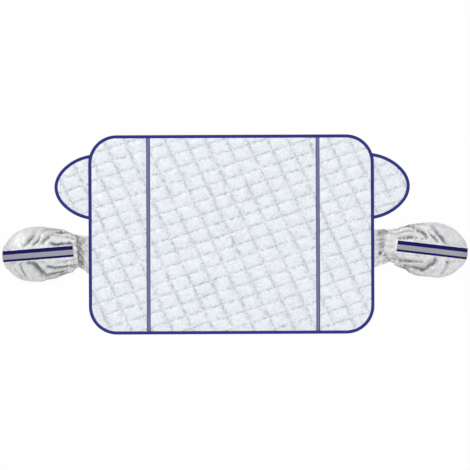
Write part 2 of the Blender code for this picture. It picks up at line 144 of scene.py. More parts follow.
def panel_edge(inward):
    """The sheet's outline from above, counter-clockwise, that far inside its outer edge."""
    points = []
    for quarter, (x_side, y_side) in enumerate(((1, -1), (1, 1), (-1, 1), (-1, -1))):
        for step in range(15):
            angle = math.radians(90) * (quarter - 1 + step / 14)
            points.append(
                (
                    x_side * (PANEL_WIDTH / 2 - CORNER_RADIUS) + (CORNER_RADIUS - inward) * math.cos(angle),
                    y_side * (PANEL_DEPTH / 2 - CORNER_RADIUS) + (CORNER_RADIUS - inward) * math.sin(angle),
                )
            )
    return np.array(points)


def depth_inside(points, edge):
    """How far each point is inside a rounded outline."""
    starts, ends = edge, np.roll(edge, -1, axis=0)
    along = (ends - starts) / np.linalg.norm(ends - starts, axis=1)[:, None]
    inward = np.stack((-along[:, 1], along[:, 0]), axis=1)
    return ((points[:, None, :] - starts[None]) * inward[None]).sum(axis=2).min(axis=1)


def seam_gap(points, angle, pitch, offset):
    """How far each point is from the nearest seam of one set."""
    reach = points @ across_seams(angle) - offset
    return np.abs(reach - pitch * np.round(reach / pitch))


def grain(points, scale, seed):
    """Smooth unevenness from -1 to 1, with one bump about every 1/scale metres."""
    spots = np.column_stack((points * scale, np.full(len(points), seed)))
    return np.array([noise.noise(spot) for spot in spots])


def read_points(piece):
    points = np.empty(len(piece.data.vertices) * 3)
    piece.data.vertices.foreach_get("co", points)
    return points.reshape(-1, 3)


def write_points(piece, points):
    piece.data.vertices.foreach_set("co", points.astype(np.float32).ravel())
    piece.data.update()


def face_outwards():
    """In edit mode, turns every face of the piece outwards."""
    bpy.ops.mesh.select_all(action="SELECT")
    bpy.ops.mesh.normals_make_consistent(inside=False)


def quilted_sheet(name, edge, bare_depth, channels, shifts, rim_floor, puff, back_puff, seed):
    """One quilted piece, cut from a slanting grid that has a line on every seam.

    Bare_depth gives the depth inside the edge, less than 0 where the sheet is left plain.
    """
    row_offset, column_offset = ROW_OFFSET + shifts[0], COLUMN_OFFSET + shifts[1]
    lines = []
    for angle, pitch, offset in (
        (COLUMN_ANGLE, COLUMN_PITCH, column_offset),
        (ROW_ANGLE, ROW_PITCH, row_offset),
    ):
        reach = (edge @ across_seams(angle) - offset) / pitch
        lines.append((math.floor(reach.min()), math.ceil(reach.max())))
    (first_column, last_column), (first_row, last_row) = lines
    bpy.ops.object.select_all(action="DESELECT")
    bpy.ops.mesh.primitive_grid_add(
        x_subdivisions=(last_column - first_column) * COLUMN_CELLS,
        y_subdivisions=(last_row - first_row) * ROW_CELLS,
        size=1,
    )
    sheet = bpy.context.object
    sheet.name = name
    points = read_points(sheet)
    cells = (points[:, :2] + 0.5) * (last_column - first_column, last_row - first_row)
    cells -= SEAM_CROWDING * np.sin(2 * math.pi * cells) / (2 * math.pi)
    reaches = (cells + (first_column, first_row)) * (COLUMN_PITCH, ROW_PITCH) + (column_offset, row_offset)
    both = np.array((across_seams(COLUMN_ANGLE), across_seams(ROW_ANGLE)))
    points[:, :2] = reaches @ np.linalg.inv(both).T
    write_points(sheet, points)

    bpy.ops.object.mode_set(mode="EDIT")
    for start, end in zip(edge, np.roll(edge, -1, axis=0)):
        bpy.ops.mesh.select_all(action="SELECT")
        outward = Vector((end[1] - start[1], start[0] - end[0], 0)).normalized()
        bpy.ops.mesh.bisect(plane_co=(*start, 0), plane_no=outward, clear_outer=True)
    face_outwards()
    bpy.ops.mesh.extrude_region_move(TRANSFORM_OT_translate={"value": (0, 0, SHEET_THICKNESS)})
    face_outwards()
    bpy.ops.object.mode_set(mode="OBJECT")

    points = read_points(sheet)
    plan = points[:, :2]
    on_face = points[:, 2] > SHEET_THICKNESS / 2
    row_gap = seam_gap(plan, ROW_ANGLE, ROW_PITCH, row_offset)
    column_gap = seam_gap(plan, COLUMN_ANGLE, COLUMN_PITCH, column_offset)
    bare_gap = bare_depth(plan)
    for centre in channels:
        bare_gap = np.minimum(bare_gap, np.abs(plan[:, 0] - centre) - CHANNEL_HALF_WIDTH)
    bare_gap = np.maximum(bare_gap, 0)
    swell = 1 - np.exp(-row_gap / 0.010)
    swell *= 1 - np.exp(-column_gap / 0.012)
    swell *= 1 - np.exp(-bare_gap / 0.012)
    uneven = 1 + 0.30 * grain(plan, 9, seed) + 0.22 * grain(plan, 24, seed + 5)
    creased = 1 - np.abs(grain(plan, 38, seed + 9)) * 2
    puckers = np.zeros(len(plan))
    for gap, other_angle, wave in ((row_gap, ROW_ANGLE, 0.021), (column_gap, COLUMN_ANGLE, 0.024)):
        along = plan @ np.array((math.cos(other_angle), math.sin(other_angle)))
        phase = 2 * math.pi * along / wave + 3.5 * grain(plan, 14, seed + wave * 1000)
        puckers += np.sin(phase) * np.exp(-gap / 0.012) * np.minimum(1, gap / 0.003)
    plain = np.minimum(1, bare_gap / 0.006)
    face_rise = swell * (puff * uneven + 0.0005 * creased) + 0.00045 * puckers * plain
    back_drop = swell * back_puff * np.minimum(1, uneven)
    face = rim_floor + SHEET_THICKNESS + np.maximum(face_rise, 0)
    points[:, 2] = np.where(on_face, face, rim_floor - back_drop)
    points[:, 2] = np.maximum(points[:, 2], 0)
    write_points(sheet, points)
    bpy.ops.object.shade_smooth_by_angle(angle=math.radians(50))
    return sheet


def new_cloth(name, by_uv=False):
    """A material, its nodes, its shader and the place on the piece that it goes by."""
    material = bpy.data.materials.new(name)
    material.use_nodes = True
    tree = material.node_tree
    if by_uv:
        place = add_node(tree, "ShaderNodeUVMap", uv_map="UVMap").outputs[0]
    else:
        place = add_node(tree, "ShaderNodeTexCoord").outputs["Object"]
    return material, tree, tree.nodes["Principled BSDF"], place


def clouds(tree, place, scale, detail, roughness=0.5, distortion=0.0):
    """How high an uneven surface is at a place."""
    settings = [("Scale", scale), ("Detail", detail), ("Roughness", roughness), ("Distortion", distortion)]
    return add_node(tree, "ShaderNodeTexNoise", [("Vector", place)] + settings).outputs["Fac"]


def waves(tree, place, scale, direction, distortion=0.0):
    settings = [("Vector", place), ("Scale", scale), ("Distortion", distortion)]
    return add_node(tree, "ShaderNodeTexWave", settings, bands_direction=direction).outputs["Fac"]


def cells(tree, place, scale, feature):
    settings = [("Vector", place), ("Scale", scale)]
    return add_node(tree, "ShaderNodeTexVoronoi", settings, feature=feature).outputs["Distance"]


def mixed(tree, share, low, high):
    """The colour that far from the low one to the high one."""
    inputs = [("Factor", share), (6, low), (7, high)]
    return add_node(tree, "ShaderNodeMix", inputs, data_type="RGBA", clamp_factor=True).outputs[2]


def darker(colour, share):
    return tuple(share * part for part in colour[:3]) + (1,)


def dye(tree, shader, colour, relief, strength, distance):
    """Gives a shader its colour, and the relief that the light catches on."""
    bump = add_node(tree, "ShaderNodeBump", [("Height", relief), ("Strength", strength), ("Distance", distance)])
    tree.links.new(colour, shader.inputs["Base Color"])
    tree.links.new(bump.outputs[0], shader.inputs["Normal"])


def quilted_cloth(name, shifts):
    """Crinkled silver-white foil cloth, with painted shade along the seams, which its stitches pucker."""
    material, tree, shader, place = new_cloth(name)
    strays = clouds(tree, place, 48, 2)
    gaps, pucker_places = [], []
    for angle, pitch, offset in (
        (ROW_ANGLE, ROW_PITCH, ROW_OFFSET + shifts[0]),
        (COLUMN_ANGLE, COLUMN_PITCH, COLUMN_OFFSET + shifts[1]),
    ):
        across = (-math.sin(angle), math.cos(angle), 0)
        along = (math.cos(angle), math.sin(angle), 0)
        reach, run = (
            add_node(tree, "ShaderNodeVectorMath", [(0, place), (1, way)], operation="DOT_PRODUCT").outputs[1]
            for way in (across, along)
        )
        from_seam = calculate(tree, "MULTIPLY_ADD", strays, 0.005, reach)
        from_seam = calculate(tree, "SUBTRACT", from_seam, offset + 0.0025)
        gaps.append(calculate(tree, "PINGPONG", from_seam, pitch / 2))
        narrowed = calculate(tree, "MULTIPLY", reach, 0.16)
        pucker_places.append(add_node(tree, "ShaderNodeCombineXYZ", [("X", run), ("Y", narrowed)]).outputs[0])
    crumple = cells(tree, place, 95, "DISTANCE_TO_EDGE")
    weave = clouds(tree, place, 420, 3)
    wrinkles = clouds(tree, place, 70, 4, roughness=0.6, distortion=0.8)
    relief = calculate(tree, "MULTIPLY_ADD", weave, 0.12, wrinkles)
    relief = calculate(tree, "MULTIPLY_ADD", crumple, 0.6, relief)
    for gap, pucker_place in zip(gaps, pucker_places):
        puckers = clouds(tree, pucker_place, 190, 2)
        near = calculate(tree, "EXPONENT", calculate(tree, "MULTIPLY", gap, -1 / 0.010))
        relief = calculate(tree, "ADD", relief, calculate(tree, "MULTIPLY", near, puckers))
    strength = calculate(tree, "MULTIPLY_ADD", clouds(tree, place, 62, 1), 2.8, -0.75)
    strength = calculate(tree, "MAXIMUM", strength, 0.28)
    # Painted shade along both sets of seams, darkest at each seam, its strength varied by noise
    row_seam_shade, column_seam_shade = (
        calculate(tree, "EXPONENT", calculate(tree, "MULTIPLY", gap, -1 / width))
        for gap, width in zip(gaps, (0.0066, 0.0100))
    )
    painted_seam_shade = calculate(tree, "MULTIPLY", calculate(tree, "MAXIMUM", row_seam_shade, column_seam_shade), strength)
    greyed = calculate(tree, "MULTIPLY", painted_seam_shade, 0.76)
    blotches, specks = clouds(tree, place, 26, 5), clouds(tree, place, 165, 2)
    for level, contrast, less in ((blotches, 0.50, -0.20), (wrinkles, 1.15, -0.55), (specks, 1.10, -0.55)):
        greyed = calculate(tree, "ADD", greyed, calculate(tree, "MULTIPLY_ADD", level, contrast, less))
    dye(tree, shader, mixed(tree, greyed, CLOTH_WHITE, SEAM_SHADE_GREY), relief, 0.75, 0.0030)
    gloss = calculate(tree, "MULTIPLY_ADD", wrinkles, 0.22, 0.32)
    tree.links.new(gloss, shader.inputs["Roughness"])
    shader.inputs["Metallic"].default_value = 0.18
    return material


panel = quilted_sheet(
    "quilted_panel",
    panel_edge(0.0015),
    lambda plan: depth_inside(plan, panel_edge(RIM_WIDTH)),
    TAPE_CENTRES,
    (0, 0),
    PANEL_RIM_FLOOR,
    PANEL_PUFF,
    BACK_PUFF,
    seed=3,
)
panel.data.materials.append(quilted_cloth("quilted foil cloth", (0, 0)))
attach(panel, "root")
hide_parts("main_panel")


# The quilting thread: short straight stitches, one after another along every seam.
STITCH_PITCH = 0.0062
STITCH_LENGTH = 0.0044
THREAD_RADIUS = 0.00035
THREAD_GREY = (0.62, 0.65, 0.70, 1)


def piece_from(name, points, faces):
    """A new piece made of points and faces, selected alone."""
    mesh = bpy.data.meshes.new(name)
    mesh.from_pydata(points.reshape(-1, 3).tolist(), [], faces.tolist())
    piece = bpy.data.objects.new(name, mesh)
    bpy.context.scene.collection.objects.link(piece)
    bpy.ops.object.select_all(action="DESELECT")
    piece.select_set(True)
    bpy.context.view_layer.objects.active = piece
    return piece


def stitches(name, places, directions, colour, radius=THREAD_RADIUS):
    """Copies one stitch, a spindle of eight faces, to each place, as one mesh."""
    bpy.ops.object.select_all(action="DESELECT")
    bpy.ops.mesh.primitive_cone_add(vertices=4, radius1=1, radius2=0, depth=1, end_fill_type="NOTHING")
    spindle = bpy.context.object
    bpy.ops.object.mode_set(mode="EDIT")
    bpy.ops.mesh.select_all(action="SELECT")
    bpy.ops.transform.rotate(value=math.radians(90), orient_axis="Y", center_override=(0, 0, 0))
    bpy.ops.object.mode_set(mode="OBJECT")
    half = read_points(spindle)
    half[:, 0] -= half[np.abs(half[:, 1]) > 0.1][0, 0]
    half[:, 0] *= 0.5 * STITCH_LENGTH / np.abs(half[:, 0]).max()
    half[:, 1:] *= radius
    faces = [tuple(face.vertices) for face in spindle.data.polygons]
    bpy.data.objects.remove(spindle)
    tip = int(np.argmax(np.abs(half[:, 0])))
    point_set = np.vstack((half, -half[tip]))
    other = [tuple(len(half) if corner == tip else corner for corner in reversed(face)) for face in faces]
    shape_faces = np.array(faces + other)
    directions = directions / np.linalg.norm(directions, axis=1)[:, None]
    sideways = np.cross((0, 0, 1), directions)
    sideways /= np.linalg.norm(sideways, axis=1)[:, None]
    upward = np.cross(directions, sideways)
    points = (
        places[:, None, :]
        + point_set[None, :, 0, None] * directions[:, None, :]
        + point_set[None, :, 1, None] * sideways[:, None, :]
        + point_set[None, :, 2, None] * upward[:, None, :]
    )
    all_faces = shape_faces[None] + (np.arange(len(places)) * len(point_set))[:, None, None]
    row = piece_from(name, points, all_faces.reshape(-1, 3))
    bpy.ops.object.mode_set(mode="EDIT")
    face_outwards()
    bpy.ops.object.mode_set(mode="OBJECT")
    material, tree, shader, place = new_cloth(f"{name} thread")
    twist = waves(tree, place, 700, "DIAGONAL")
    tree.links.new(mixed(tree, twist, darker(colour, 0.7), colour), shader.inputs["Base Color"])
    shader.inputs["Roughness"].default_value = 0.6
    row.data.materials.append(material)
    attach(row, "root")
    return row


def seam_stitches(name, edge, bare_depth, channels, shifts, height):
    """Stitches along every quilting seam of a sheet, where it isn't plain."""
    places, directions = [], []
    corner_reach = np.abs(edge).max() * 1.5
    for angle, pitch, offset in (
        (ROW_ANGLE, ROW_PITCH, ROW_OFFSET + shifts[0]),
        (COLUMN_ANGLE, COLUMN_PITCH, COLUMN_OFFSET + shifts[1]),
    ):
        along = np.array((math.cos(angle), math.sin(angle)))
        lines = np.arange(-round(corner_reach / pitch), round(corner_reach / pitch) + 1) * pitch + offset
        runs = np.arange(-corner_reach, corner_reach, STITCH_PITCH)
        spots = (lines[:, None, None] * across_seams(angle) + runs[None, :, None] * along).reshape(-1, 2)
        spots = spots[bare_depth(spots) > 0]
        for centre in channels:
            spots = spots[np.abs(spots[:, 0] - centre) > CHANNEL_HALF_WIDTH]
        places.append(np.column_stack((spots, np.full(len(spots), height))))
        directions.append(np.tile((*along, 0), (len(spots), 1)))
    return stitches(name, np.vstack(places), np.vstack(directions), THREAD_GREY)


panel_thread = seam_stitches(
    "panel_quilting_thread",
    panel_edge(0),
    lambda plan: depth_inside(plan, panel_edge(RIM_WIDTH)),
    TAPE_CENTRES,
    (0, 0),
    PANEL_RIM_FLOOR + SHEET_THICKNESS + 0.0001,
)


# The binding: a strip of blue woven cloth folded over the sheet's edge and sewn through
# all layers near its inner edge. It climbs over the ends of the tapes.
BINDING_WIDTH, BINDING_CLOTH, BINDING_STACK = 0.0165, 0.0006, 0.0030
SEAM_INSET, BINDING_STEP = 0.0117, 0.007
PANEL_BINDING_FLOOR = 0.0033
TAPE_LIFT = 0.0011
BINDING_BLUE = (0.044, 0.052, 0.300, 1)
BINDING_DARK = (0.026, 0.030, 0.190, 1)
THREAD_BLUE = (0.07, 0.08, 0.38, 1)
SEAM_THREAD_RADIUS = 0.0003


def woven_cloth(name, colour, dark, threads, roughness=0.75):
    """Plain weave of that many threads a metre, along the piece's own UV map."""
    material, tree, shader, lie = new_cloth(name, by_uv=True)
    along, across = (waves(tree, lie, threads, way, distortion=0.6) for way in ("X", "Y"))
    weave = calculate(tree, "MULTIPLY", along, across)
    fade = calculate(tree, "MULTIPLY", clouds(tree, lie, 45, 4), 0.5)
    shade = calculate(tree, "MULTIPLY_ADD", weave, 0.5, fade)
    dye(tree, shader, mixed(tree, shade, dark, colour), weave, 0.5, 0.0004)
    shader.inputs["Roughness"].default_value = roughness
    shader.inputs["Specular IOR Level"].default_value = 0.10
    return material


def thicken(piece, thickness, even):
    wall = piece.modifiers.new("cloth", "SOLIDIFY")
    wall.thickness = thickness
    wall.offset = -1
    wall.use_even_offset = even
    bpy.ops.object.modifier_apply(modifier=wall.name)


def cloth_from_rows(name, rows, thickness=0.0, closed_along=False, closed_across=False):
    """Cloth through rows of points, with a UV map in metres. Solidify gives it its thickness."""
    rows = np.asarray(rows, float)
    row_count, column_count = rows.shape[:2]
    row_spans = row_count if closed_along else row_count - 1
    column_spans = column_count if closed_across else column_count - 1
    i, j = (part.ravel() for part in np.indices((row_spans, column_spans)))
    here, beyond = i * column_count, (i + 1) % row_count * column_count
    next_over = (j + 1) % column_count
    faces = np.stack((here + j, beyond + j, beyond + next_over, here + next_over), axis=1)
    piece = piece_from(name, rows, faces)
    steps_along = np.linalg.norm(np.diff(np.vstack((rows, rows[:1])), axis=0), axis=2).mean(axis=1)
    looped = np.concatenate((rows, rows[:, :1]), axis=1)
    steps_across = np.linalg.norm(np.diff(looped, axis=1), axis=2).mean(axis=0)
    run = np.concatenate(((0,), np.cumsum(steps_along)))
    width = np.concatenate(((0,), np.cumsum(steps_across)))
    uv = piece.data.uv_layers.new(name="UVMap")
    near, far, left, right = run[i], run[i + 1], width[j], width[j + 1]
    corners = np.stack((near, left, far, left, far, right, near, right), axis=1)
    uv.data.foreach_set("uv", corners.astype(np.float32).ravel())
    if thickness:
        thicken(piece, thickness, even=True)
    return piece


def along_edge(edge, spacing, closed):
    """Evenly spaced points along an outline, and the way inwards at each."""
    path = np.vstack((edge, edge[:1])) if closed else edge
    lengths = np.concatenate(((0,), np.cumsum(np.linalg.norm(np.diff(path, axis=0), axis=1))))
    stops = np.linspace(0, lengths[-1], round(lengths[-1] / spacing) + 1)
    if closed:
        stops = stops[:-1]
    points = np.stack([np.interp(stops, lengths, path[:, axis]) for axis in (0, 1)], axis=1)
    if closed:
        ways = np.roll(points, -1, axis=0) - np.roll(points, 1, axis=0)
    else:
        ways = np.gradient(points, axis=0)
    ways /= np.linalg.norm(ways, axis=1)[:, None]
    return points, np.stack((-ways[:, 1], ways[:, 0]), axis=1)


def climb(reaches, tapes):
    """The share of the tapes' thickness that the binding climbs at each place across."""
    lift = np.zeros(len(reaches))
    for centre in tapes:
        lift = np.maximum(lift, np.clip((TAPE_HALF_WIDTH + 0.0045 - np.abs(reaches - centre)) / 0.004, 0, 1))
    return lift


def bound_edge(name, edge, floor_height, tapes, closed, seed):
    """The folded strip along an outline, and the row of stitches that holds it."""
    points, inward = along_edge(edge, BINDING_STEP, closed)
    fold = [math.radians(270 - 18 * step) for step in range(11)]
    radius = BINDING_STACK / 2
    section = [(BINDING_WIDTH, 0), (0.010, 0), (0.005, 0)]
    section += [(radius + radius * math.cos(turn), radius + radius * math.sin(turn)) for turn in fold]
    section += [(inset, BINDING_STACK) for inset in (0.004, 0.007, 0.0095, 0.0115, 0.0133, BINDING_WIDTH)]
    run = np.arange(len(points)) * BINDING_STEP
    wander = np.array([noise.noise(Vector((spot * 22, seed, 0))) for spot in run])
    pucker = np.array([noise.noise(Vector((spot * 120, seed, 4))) for spot in run])
    lift = climb(points[:, 0], tapes)
    rows = []
    for inset, height in section:
        top = min(1, max(0, (height / BINDING_STACK - 0.5) * 2))
        sewn_down = math.exp(-(((inset - SEAM_INSET) / 0.0013) ** 2)) * top
        reach = inset + 0.0005 * wander * (inset > 0.014)
        rise = floor_height + height + top * (TAPE_LIFT * lift) - 0.00022 * sewn_down
        rise = rise + top * 0.00016 * pucker * (inset > 0.003) * (lift < 0.01)
        plan = points + inward * np.asarray(reach).reshape(-1, 1)
        rows.append(np.column_stack((plan, np.broadcast_to(rise, len(points)))))
    strip = cloth_from_rows(name, np.stack(rows, axis=1), BINDING_CLOTH, closed_along=closed)
    bpy.ops.object.shade_smooth_by_angle(angle=math.radians(60))
    strip.data.materials.append(woven_cloth(f"{name} cloth", BINDING_BLUE, BINDING_DARK, 380.0))
    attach(strip, "root")
    sewn, sewn_inward = along_edge(edge, STITCH_PITCH * 0.75, closed)
    heights = floor_height + BINDING_STACK - 0.0001 + TAPE_LIFT * climb(sewn[:, 0], tapes)
    places = np.column_stack((sewn + sewn_inward * SEAM_INSET, heights))
    ways = np.column_stack((sewn_inward[:, 1], -sewn_inward[:, 0], np.zeros(len(sewn))))
    row = stitches(f"{name}_thread", places, ways, THREAD_BLUE, SEAM_THREAD_RADIUS)
    return strip, row


main_binding, main_binding_thread = bound_edge(
    "edge_binding", panel_edge(0), PANEL_BINDING_FLOOR, TAPE_CENTRES, closed=True, seed=1
)
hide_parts("main_binding")


# Two blue webbing tapes, sewn down the face in their channels with a row of stitches near
# each edge. Their ends go under the binding.
TAPE_LOW, TAPE_THICKNESS, TAPE_SEAM = 0.0057, 0.0008, 0.0081
TAPE_END = 0.507
TAPE_COLOUR = (0.225, 0.240, 0.412, 1)
TAPE_EDGE_COLOUR = (0.050, 0.052, 0.210, 1)


def webbing_with_selvedge(name, centre):
    """Ribbed webbing whose edges are woven darker. It is placed from its middle line."""
    material = woven_cloth(name, TAPE_COLOUR, darker(TAPE_COLOUR, 0.75), 300)
    tree = material.node_tree
    shader = tree.nodes["Principled BSDF"]
    place = add_node(tree, "ShaderNodeTexCoord").outputs["Object"]
    side = add_node(tree, "ShaderNodeSeparateXYZ", [(0, place)]).outputs["X"]
    out = calculate(tree, "ABSOLUTE", calculate(tree, "SUBTRACT", side, centre))
    share = add_node(
        tree,
        "ShaderNodeMapRange",
        [("Value", out), ("From Min", TAPE_HALF_WIDTH * 0.50), ("From Max", TAPE_HALF_WIDTH * 0.80)],
        interpolation_type="SMOOTHSTEP",
    )
    inner = shader.inputs["Base Color"].links[0].from_socket
    tree.links.new(mixed(tree, share.outputs[0], inner, TAPE_EDGE_COLOUR), shader.inputs["Base Color"])
    return material


panel_trims = [main_binding, main_binding_thread, panel_thread]
for side, centre in zip(("left", "right"), TAPE_CENTRES):
    edging = [(TAPE_HALF_WIDTH, 0.0004), (0.0094, 0.0007), (0.0088, TAPE_THICKNESS), (TAPE_SEAM, 0.00072)]
    edging.append((0.0074, TAPE_THICKNESS))
    section = [(-x, z) for x, z in edging]
    section += [(x, TAPE_THICKNESS + 0.0001 * math.cos(x * 320)) for x in np.linspace(-0.006, 0.006, 9)]
    section += edging[::-1]
    runs = np.linspace(-TAPE_END, TAPE_END, 170)
    rows = [
        [
            (
                centre + x + 0.0004 * noise.noise(Vector((y * 9, centre, 0))),
                y,
                TAPE_LOW + z + 0.00012 * noise.noise(Vector((y * 70, x * 90, centre))) * (abs(y) < 0.49),
            )
            for x, z in section
        ]
        for y in runs
    ]
    tape = cloth_from_rows(f"{side}_webbing_tape", np.array(rows)[:, ::-1], 0.0)
    bpy.ops.object.mode_set(mode="EDIT")
    bpy.ops.mesh.select_all(action="SELECT")
    bpy.ops.mesh.extrude_region_move(TRANSFORM_OT_translate={"value": (0, 0, -0.0003)})
    face_outwards()
    bpy.ops.object.mode_set(mode="OBJECT")
    bpy.ops.object.shade_smooth_by_angle(angle=math.radians(50))
    tape.data.materials.append(webbing_with_selvedge(f"{side} tape webbing", centre))
    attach(tape, "root")
    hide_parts(f"{side}_tape")
    sewn = np.arange(-0.492, 0.492, STITCH_PITCH * 0.7)
    places = np.array([(centre + x, y, TAPE_LOW + 0.00078) for x in (-TAPE_SEAM, TAPE_SEAM) for y in sewn])
    ways = np.tile((0, 1, 0), (len(places), 1))
    row = stitches(f"{side}_tape_thread", places, ways, THREAD_BLUE, SEAM_THREAD_RADIUS)
    panel_trims += [tape, row]


# The door flaps: the same quilted cloth, cut half round and bound on the curve. Each one's
# straight edge is sewn in under the sheet's edge, and the flap is shut in the car's door.
FLAP_REACH, FLAP_CENTRE = {"left": 0.175, "right": 0.185}, 0.246
FLAP_HALF_LENGTH, FLAP_HALF_HEIGHT = 0.355, 0.200
TUCK = 0.0165
FLAP_ROOT_SQUEEZE, FLAP_ROOT_LENGTH = 0.04, 0.106
FLAP_SHIFTS = {"left": (-0.007, 0.0), "right": (0.028, -0.030)}
FLAP_PUFF, FLAP_FLOOR = 0.0040, 0.0009


def flap_edge(side, inward, straight_inward=0.0):
    """A flap's outline, counter-clockwise. Its last edge is the straight one, tucked away."""
    ellipse_centre = PANEL_WIDTH / 2 + FLAP_REACH[side] - FLAP_HALF_LENGTH
    tucked = PANEL_WIDTH / 2 - TUCK + straight_inward
    a, b = FLAP_HALF_LENGTH - inward, FLAP_HALF_HEIGHT - inward
    widest = math.acos((tucked - ellipse_centre) / a)
    turns = np.linspace(-widest, widest, 41)
    reach = ellipse_centre + a * np.cos(turns)
    near_root = np.maximum(0, 1 - (reach - PANEL_WIDTH / 2) / FLAP_ROOT_LENGTH)
    half_heights = b * np.sin(turns) * (1 - FLAP_ROOT_SQUEEZE * near_root**2)
    points = np.column_stack((reach, FLAP_CENTRE + half_heights))
    if side == "left":
        points = points[::-1] * (-1, 1)
    return points


for side in ("left", "right"):
    inner_edge = flap_edge(side, RIM_WIDTH, TUCK + 0.0015)
    flap = quilted_sheet(
        f"{side}_quilted_flap",
        flap_edge(side, 0.0015),
        lambda plan: depth_inside(plan, inner_edge),
        (),
        FLAP_SHIFTS[side],
        FLAP_FLOOR,
        FLAP_PUFF,
        FLAP_FLOOR,
        seed=20 if side == "left" else 40,
    )
    flap.data.materials.append(quilted_cloth(f"{side} flap foil cloth", FLAP_SHIFTS[side]))
    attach(flap, "root")
    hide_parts(f"{side}_flap")
    thread = seam_stitches(
        f"{side}_flap_quilting_thread",
        flap_edge(side, 0),
        lambda plan: depth_inside(plan, inner_edge),
        (),
        FLAP_SHIFTS[side],
        FLAP_FLOOR + SHEET_THICKNESS + 0.0001,
    )
    seed = 7 if side == "left" else 9
    strip, strip_thread = bound_edge(f"{side}_flap_edge_binding", flap_edge(side, 0), 0.0, (), False, seed)
    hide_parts(f"{side}_flap_binding")


# The mirror pouches: thin silver coated cloth, cut as a bag, gathered into its mouth by an
# elastic and eased round its tip. It crumples between the sewn places. The simulation gives
# the free cloth spare length, and the long creases that the folded bag keeps are laid in.
POUCH_LENGTH, POUCH_BELLY_AT, POUCH_HALF_WIDTH, POUCH_HEIGHT = 0.378, 0.216, 0.144, 0.076
MOUTH_HALF_WIDTH, MOUTH_HEIGHT, HEM_LENGTH, MOUTH_LIFT = 0.086, 0.046, 0.013, 0.0011
STRIP_START, STRIP_HALF_WIDTH = 0.016, 0.028
EQUATOR_SHARE, TIP_EQUATOR, FLOOR_SPREAD = 0.32, 0.015, 1.25
TIP_TURN = math.radians(77)
POUCH_CLOTH = 0.0012
POUCH_COLUMNS = 144
PLEAT_DEPTH, PLEAT_LENGTH = 0.0042, 0.200
SPARE_CLOTH = 0.10
MOST_CRUMPLE = 0.011
NECK_LENGTH = {"left": 0.060, "right": 0.098}
MOUTH_CENTRE = {"left": -0.081, "right": -0.060}
MOUTH_LIP = {"left": (0.004, 0.0), "right": (0.050, 0.020)}
POUCH_DROOP = {"left": math.radians(4.3), "right": math.radians(6.9)}
SILVER = (0.765, 0.768, 0.778, 1)
# The grey of the painted shade in the pouches' creases, hollows and sides
CREASE_SHADE_GREY = (0.16, 0.16, 0.17, 1)

POUCH_SEED = {"left": 11, "right": 31}
STRIP_CLEAR_HALF_WIDTH, STRIP_CLEAR_FADE = 0.029, 0.004

# Each crease, laid in and painted with shade along it: its points as (along, across), its half width and its
# depth
POUCH_CREASES = {
    "left": (
        (((0.15, 0.13), (0.12, 0.131), (0.094, 0.123), (0.069, 0.115)), 0.0065, 0.0055),
        (((0.103, 0.102), (0.07, 0.101), (0.035, 0.102)), 0.0055, 0.0055),
        (((0.022, 0.099), (0.008, 0.096), (-0.007, 0.086)), 0.0040, 0.0050),
        (((0.195, 0.117), (0.215, 0.094), (0.24, 0.067), (0.259, 0.042)), 0.0070, 0.0045),
        (((0.173, 0.092), (0.188, 0.069), (0.209, 0.048)), 0.0055, 0.0045),
        (((0.109, 0.101), (0.13, 0.084), (0.148, 0.072), (0.159, 0.054)), 0.0070, 0.0040),
        (((0.123, 0.056), (0.104, 0.046), (0.071, 0.046), (0.023, 0.043)), 0.0050, 0.0050),
        (
            ((0.248, -0.033), (0.22, -0.047), (0.202, -0.073), (0.178, -0.099))
            + ((0.153, -0.116), (0.119, -0.108), (0.056, -0.103)),
            0.0095,
            0.0085,
        ),
        (((0.146, -0.071), (0.114, -0.079), (0.067, -0.076), (0.034, -0.07), (0.007, -0.064)), 0.0055, 0.0060),
        (((0.28, -0.034), (0.286, -0.055), (0.282, -0.082), (0.262, -0.12)), 0.0050, 0.0032),
        (((0.318, -0.076), (0.3, -0.1), (0.285, -0.121)), 0.0045, 0.0028),
    ),
    "right": (
        (((-0.012, 0.085), (0.005, 0.092), (0.018, 0.092)), 0.0040, 0.0050),
        (((0.034, 0.101), (0.06, 0.102), (0.09, 0.102)), 0.0050, 0.0055),
        (((0.072, 0.117), (0.097, 0.123), (0.123, 0.133)), 0.0070, 0.0045),
        (((0.115, 0.088), (0.139, 0.081), (0.154, 0.067), (0.165, 0.051)), 0.0075, 0.0050),
        (((0.167, 0.095), (0.182, 0.077), (0.202, 0.052), (0.212, 0.044)), 0.0055, 0.0045),
        (((0.186, 0.117), (0.21, 0.093), (0.236, 0.07), (0.254, 0.039)), 0.0070, 0.0045),
        (((0.015, 0.037), (0.054, 0.042), (0.093, 0.05), (0.119, 0.048), (0.143, 0.042)), 0.0040, 0.0032),
        (((-0.007, -0.061), (0.021, -0.071), (0.055, -0.077), (0.094, -0.078), (0.15, -0.073)), 0.0050, 0.0060),
        (
            ((0.058, -0.103), (0.098, -0.107), (0.131, -0.11), (0.152, -0.117))
            + ((0.177, -0.103), (0.2, -0.08), (0.217, -0.048)),
            0.0090,
            0.0080,
        ),
        (((0.277, -0.038), (0.283, -0.064), (0.272, -0.098), (0.258, -0.123)), 0.0050, 0.0032),
        (((0.359, -0.075), (0.341, -0.093), (0.316, -0.109)), 0.0035, 0.0025),
    ),
}


def pouch_frame(side):
    """Takes a point's (along, across, rise) to its place on the cover."""
    outward = -1 if side == "left" else 1
    turn = -outward * POUCH_DROOP[side] + (math.pi if side == "left" else 0)
    mouth = Vector((outward * (PANEL_WIDTH / 2 + NECK_LENGTH[side]), MOUTH_CENTRE[side], 0))
    turned = Matrix.Translation(mouth) @ Matrix.Rotation(turn, 4, "Z")
    return np.array(turned) @ np.diag((1, outward, 1, 1))


def placed(points, side):
    matrix = pouch_frame(side)
    return points @ matrix[:3, :3].T + matrix[:3, 3]


